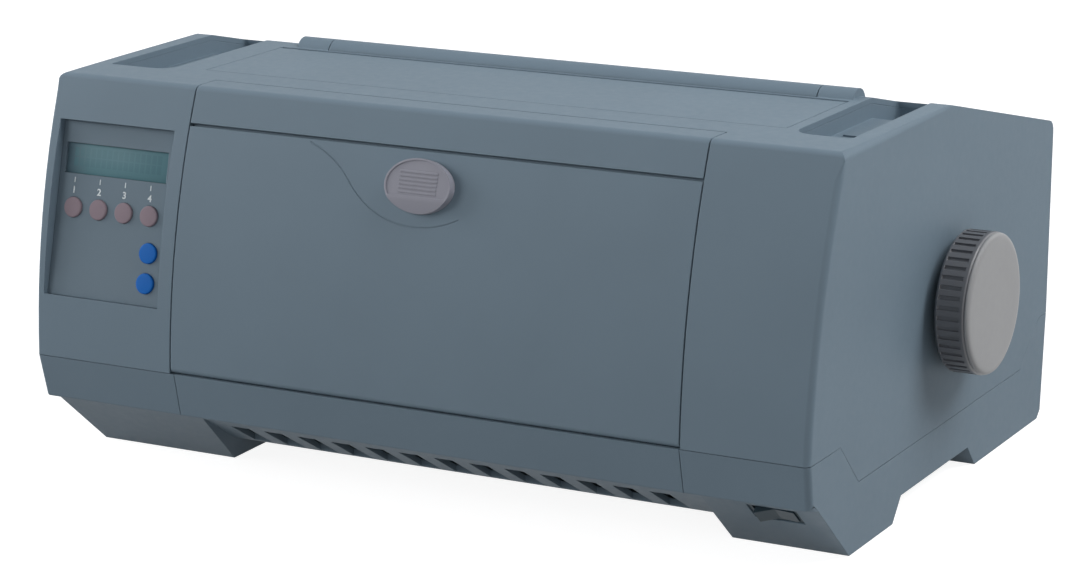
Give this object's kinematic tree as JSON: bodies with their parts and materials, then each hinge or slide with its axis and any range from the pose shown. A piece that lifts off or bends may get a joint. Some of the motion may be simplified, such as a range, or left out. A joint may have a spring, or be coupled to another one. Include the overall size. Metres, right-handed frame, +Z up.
{
  "type": "dot matrix printer",
  "caption": "Desktop impact printer with a hinged front flap, top cover and rear paper cover, a side platen knob, a control panel and a full print mechanism inside.",
  "frame": {"origin": "middle of the printer's footprint, its knob included, on the surface it stands on", "axes": "+X to the printer's right as its user sees it, along the platen; +Y from the front to the back; +Z up"},
  "size_m": [0.4623, 0.305, 0.2046],
  "materials": {
    "casing": "fine moulded grain",
    "dark_plastic": "satin",
    "grey_plastic": "satin",
    "white_plastic": "smooth",
    "mauve_keys": "satin",
    "blue_keys": "smooth",
    "display_window": "glossy",
    "knob_face": "satin",
    "knob_rim": "satin",
    "rubber": "matt",
    "platen_rubber": "ground smooth",
    "zinc_steel": "zinc plated",
    "shaft_steel": "ground",
    "bronze": "sintered",
    "brass_gear": "hobbed",
    "motor_paint": "satin black",
    "board": "solder mask",
    "supply_parts": "satin",
    "pulley_metal": "turned",
    "ribbon_cloth": "inked",
    "ribbon_knob_plastic": "satin"
  },
  "bodies": {
    "printer": {"base_housing": "casing", "lower_front_panel": "casing", "upper_housing": "casing", "well_tray_left": "casing", "well_tray_right": "casing", "front_strip": "casing", "rubber_feet": "rubber", "screws": "zinc_steel", "panel_plate": "casing", "lcd_window": "display_window", "panel_board": "board", "switch_frame": "dark_plastic", "mains_inlet": "dark_plastic", "power_supply": "supply_parts", "interface_ports": "zinc_steel", "main_board": "board", "chassis_plate": "zinc_steel", "side_frame_left": "zinc_steel", "side_frame_right": "zinc_steel", "guide_shafts": "shaft_steel", "platen_bushings": "bronze", "feed_motor": "motor_paint", "paper_guides": "dark_plastic", "timing_belt": "rubber", "carriage_motor": "motor_paint", "ribbon_cassette": "dark_plastic", "ribbon": "ribbon_cloth"},
    "front_cover": {"front_cover": "casing"},
    "latch": {"front_latch": "grey_plastic"},
    "top_cover": {"top_cover": "casing"},
    "rear_cover": {"rear_cover": "casing"},
    "key_1": {"key_1": "mauve_keys"},
    "key_2": {"key_2": "mauve_keys"},
    "key_3": {"key_3": "mauve_keys"},
    "key_4": {"key_4": "mauve_keys"},
    "blue_key_upper": {"blue_key_upper": "blue_keys"},
    "blue_key_lower": {"blue_key_lower": "blue_keys"},
    "switch_rocker": {"switch_rocker": "dark_plastic"},
    "platen": {"platen_roller": "platen_rubber", "platen_shaft": "shaft_steel", "platen_knob": "knob_rim", "knob_cap": "knob_face", "platen_gear": "white_plastic"},
    "idler_gear": {"idler_gear": "white_plastic"},
    "motor_pinion": {"motor_pinion": "brass_gear"},
    "tractor_drive": {"tractor_drive_shaft": "shaft_steel", "tractor_gear": "white_plastic"},
    "tractor_left": {"tractor_left": "dark_plastic"},
    "tractor_right": {"tractor_right": "dark_plastic"},
    "tractor_door_left": {"tractor_door_left": "grey_plastic"},
    "tractor_door_right": {"tractor_door_right": "grey_plastic"},
    "sprocket_left": {"sprocket_left": "white_plastic"},
    "sprocket_right": {"sprocket_right": "white_plastic"},
    "pressure_rollers": {"pressure_rollers": "rubber"},
    "paper_bail": {"paper_bail": "zinc_steel"},
    "bail_rollers": {"bail_rollers": "rubber"},
    "carriage": {"carriage": "dark_plastic", "print_head": "motor_paint"},
    "motor_pulley": {"motor_pulley": "pulley_metal"},
    "idler_pulley": {"idler_pulley": "white_plastic"},
    "ribbon_knob": {"ribbon_knob": "ribbon_knob_plastic"}
  },
  "joints": [
    {"name": "front_cover_hinge", "type": "hinge", "parent": "printer", "child": "front_cover", "pos_m": [-0.00305, -0.14931, 0.06275], "axis": [1, 0, 0], "range_deg": [0, 95]},
    {"name": "latch_slide", "type": "slide", "parent": "front_cover", "child": "latch", "axis": [0, -0.3153, -0.949], "range_m": [0, 0.005], "stiffness_N_per_m": 200, "springref_m": -0.004},
    {"name": "top_cover_hinge", "type": "hinge", "parent": "printer", "child": "top_cover", "pos_m": [-0.00305, -0.0104, 0.19724], "axis": [-1, 0, 0], "range_deg": [0, 80]},
    {"name": "rear_cover_hinge", "type": "hinge", "parent": "printer", "child": "rear_cover", "pos_m": [-0.00305, 0.0035, 0.1964], "axis": [1, 0, 0], "range_deg": [0, 70]},
    {"name": "key_1_press", "type": "slide", "parent": "printer", "child": "key_1", "axis": [0, 0.9674, -0.2533], "range_m": [0, 0.0012], "stiffness_N_per_m": 400, "springref_m": -0.0008},
    {"name": "key_2_press", "type": "slide", "parent": "printer", "child": "key_2", "axis": [0, 0.9674, -0.2533], "range_m": [0, 0.0012], "stiffness_N_per_m": 400, "springref_m": -0.0008},
    {"name": "key_3_press", "type": "slide", "parent": "printer", "child": "key_3", "axis": [0, 0.9674, -0.2533], "range_m": [0, 0.0012], "stiffness_N_per_m": 400, "springref_m": -0.0008},
    {"name": "key_4_press", "type": "slide", "parent": "printer", "child": "key_4", "axis": [0, 0.9674, -0.2533], "range_m": [0, 0.0012], "stiffness_N_per_m": 400, "springref_m": -0.0008},
    {"name": "blue_key_upper_press", "type": "slide", "parent": "printer", "child": "blue_key_upper", "axis": [0, 0.9674, -0.2533], "range_m": [0, 0.0012], "stiffness_N_per_m": 400, "springref_m": -0.0008},
    {"name": "blue_key_lower_press", "type": "slide", "parent": "printer", "child": "blue_key_lower", "axis": [0, 0.9674, -0.2533], "range_m": [0, 0.0012], "stiffness_N_per_m": 400, "springref_m": -0.0008},
    {"name": "power_rocker", "type": "hinge", "parent": "printer", "child": "switch_rocker", "pos_m": [0.1802, -0.1268, 0.03053], "axis": [0, -0.7522, 0.6589], "range_deg": [-16, 0]},
    {"name": "platen_spin", "type": "hinge", "parent": "printer", "child": "platen", "pos_m": [-0.00305, 0.0159, 0.0996], "axis": [1, 0, 0], "continuous": true},
    {"name": "idler_spin", "type": "hinge", "parent": "printer", "child": "idler_gear", "pos_m": [-0.1628, -0.02873, 0.06415], "axis": [1, 0, 0], "continuous": true},
    {"name": "pinion_spin", "type": "hinge", "parent": "printer", "child": "motor_pinion", "pos_m": [-0.1628, 0.00403, 0.0412], "axis": [1, 0, 0], "continuous": true},
    {"name": "tractor_drive_spin", "type": "hinge", "parent": "printer", "child": "tractor_drive", "pos_m": [-0.00305, -0.0785, 0.053], "axis": [1, 0, 0], "continuous": true},
    {"name": "tractor_left_slide", "type": "slide", "parent": "printer", "child": "tractor_left", "axis": [1, 0, 0], "range_m": [0, 0.06]},
    {"name": "tractor_right_slide", "type": "slide", "parent": "printer", "child": "tractor_right", "axis": [1, 0, 0], "range_m": [-0.13, 0]},
    {"name": "tractor_door_left_hinge", "type": "hinge", "parent": "tractor_left", "child": "tractor_door_left", "pos_m": [-0.1433, -0.0985, 0.0655], "axis": [0, -1, 0], "range_deg": [0, 90]},
    {"name": "tractor_door_right_hinge", "type": "hinge", "parent": "tractor_right", "child": "tractor_door_right", "pos_m": [0.1372, -0.0985, 0.0655], "axis": [0, 1, 0], "range_deg": [0, 90]},
    {"name": "sprocket_left_spin", "type": "hinge", "parent": "tractor_left", "child": "sprocket_left", "pos_m": [-0.1298, -0.0785, 0.053], "axis": [1, 0, 0], "continuous": true},
    {"name": "sprocket_right_spin", "type": "hinge", "parent": "tractor_right", "child": "sprocket_right", "pos_m": [0.1237, -0.0785, 0.053], "axis": [1, 0, 0], "continuous": true},
    {"name": "pressure_roller_spin", "type": "hinge", "parent": "printer", "child": "pressure_rollers", "pos_m": [-0.00305, 0.02319, 0.07959], "axis": [1, 0, 0], "continuous": true},
    {"name": "paper_bail_lift", "type": "hinge", "parent": "printer", "child": "paper_bail", "pos_m": [-0.00305, 0.0355, 0.12], "axis": [-1, 0, 0], "range_deg": [0, 40]},
    {"name": "bail_roller_spin", "type": "hinge", "parent": "paper_bail", "child": "bail_rollers", "pos_m": [-0.00305, 0.0069, 0.1189], "axis": [1, 0, 0], "continuous": true},
    {"name": "carriage_slide", "type": "slide", "parent": "printer", "child": "carriage", "axis": [1, 0, 0], "range_m": [0, 0.2]},
    {"name": "motor_pulley_spin", "type": "hinge", "parent": "printer", "child": "motor_pulley", "pos_m": [-0.1358, -0.0405, 0.093], "axis": [0, 0, 1], "continuous": true},
    {"name": "idler_pulley_spin", "type": "hinge", "parent": "printer", "child": "idler_pulley", "pos_m": [0.1292, -0.0405, 0.093], "axis": [0, 0, 1], "continuous": true},
    {"name": "ribbon_knob_spin", "type": "hinge", "parent": "printer", "child": "ribbon_knob", "pos_m": [-0.1108, -0.0565, 0.118], "axis": [0, 0, 1], "continuous": true}
  ],
  "couplings": [
    {"joint": "idler_spin", "follows": "platen_spin", "ratio": -0.72727},
    {"joint": "pinion_spin", "follows": "platen_spin", "ratio": 3.4286},
    {"joint": "tractor_drive_spin", "follows": "platen_spin", "ratio": 1.3333},
    {"joint": "sprocket_left_spin", "follows": "platen_spin", "ratio": 1.3333},
    {"joint": "sprocket_right_spin", "follows": "platen_spin", "ratio": 1.3333},
    {"joint": "pressure_roller_spin", "follows": "platen_spin", "ratio": -3.2},
    {"joint": "bail_roller_spin", "follows": "platen_spin", "ratio": -3.2},
    {"joint": "motor_pulley_spin", "follows": "carriage_slide", "rad_per_m": -119.76},
    {"joint": "idler_pulley_spin", "follows": "carriage_slide", "rad_per_m": -119.76}
  ]
}
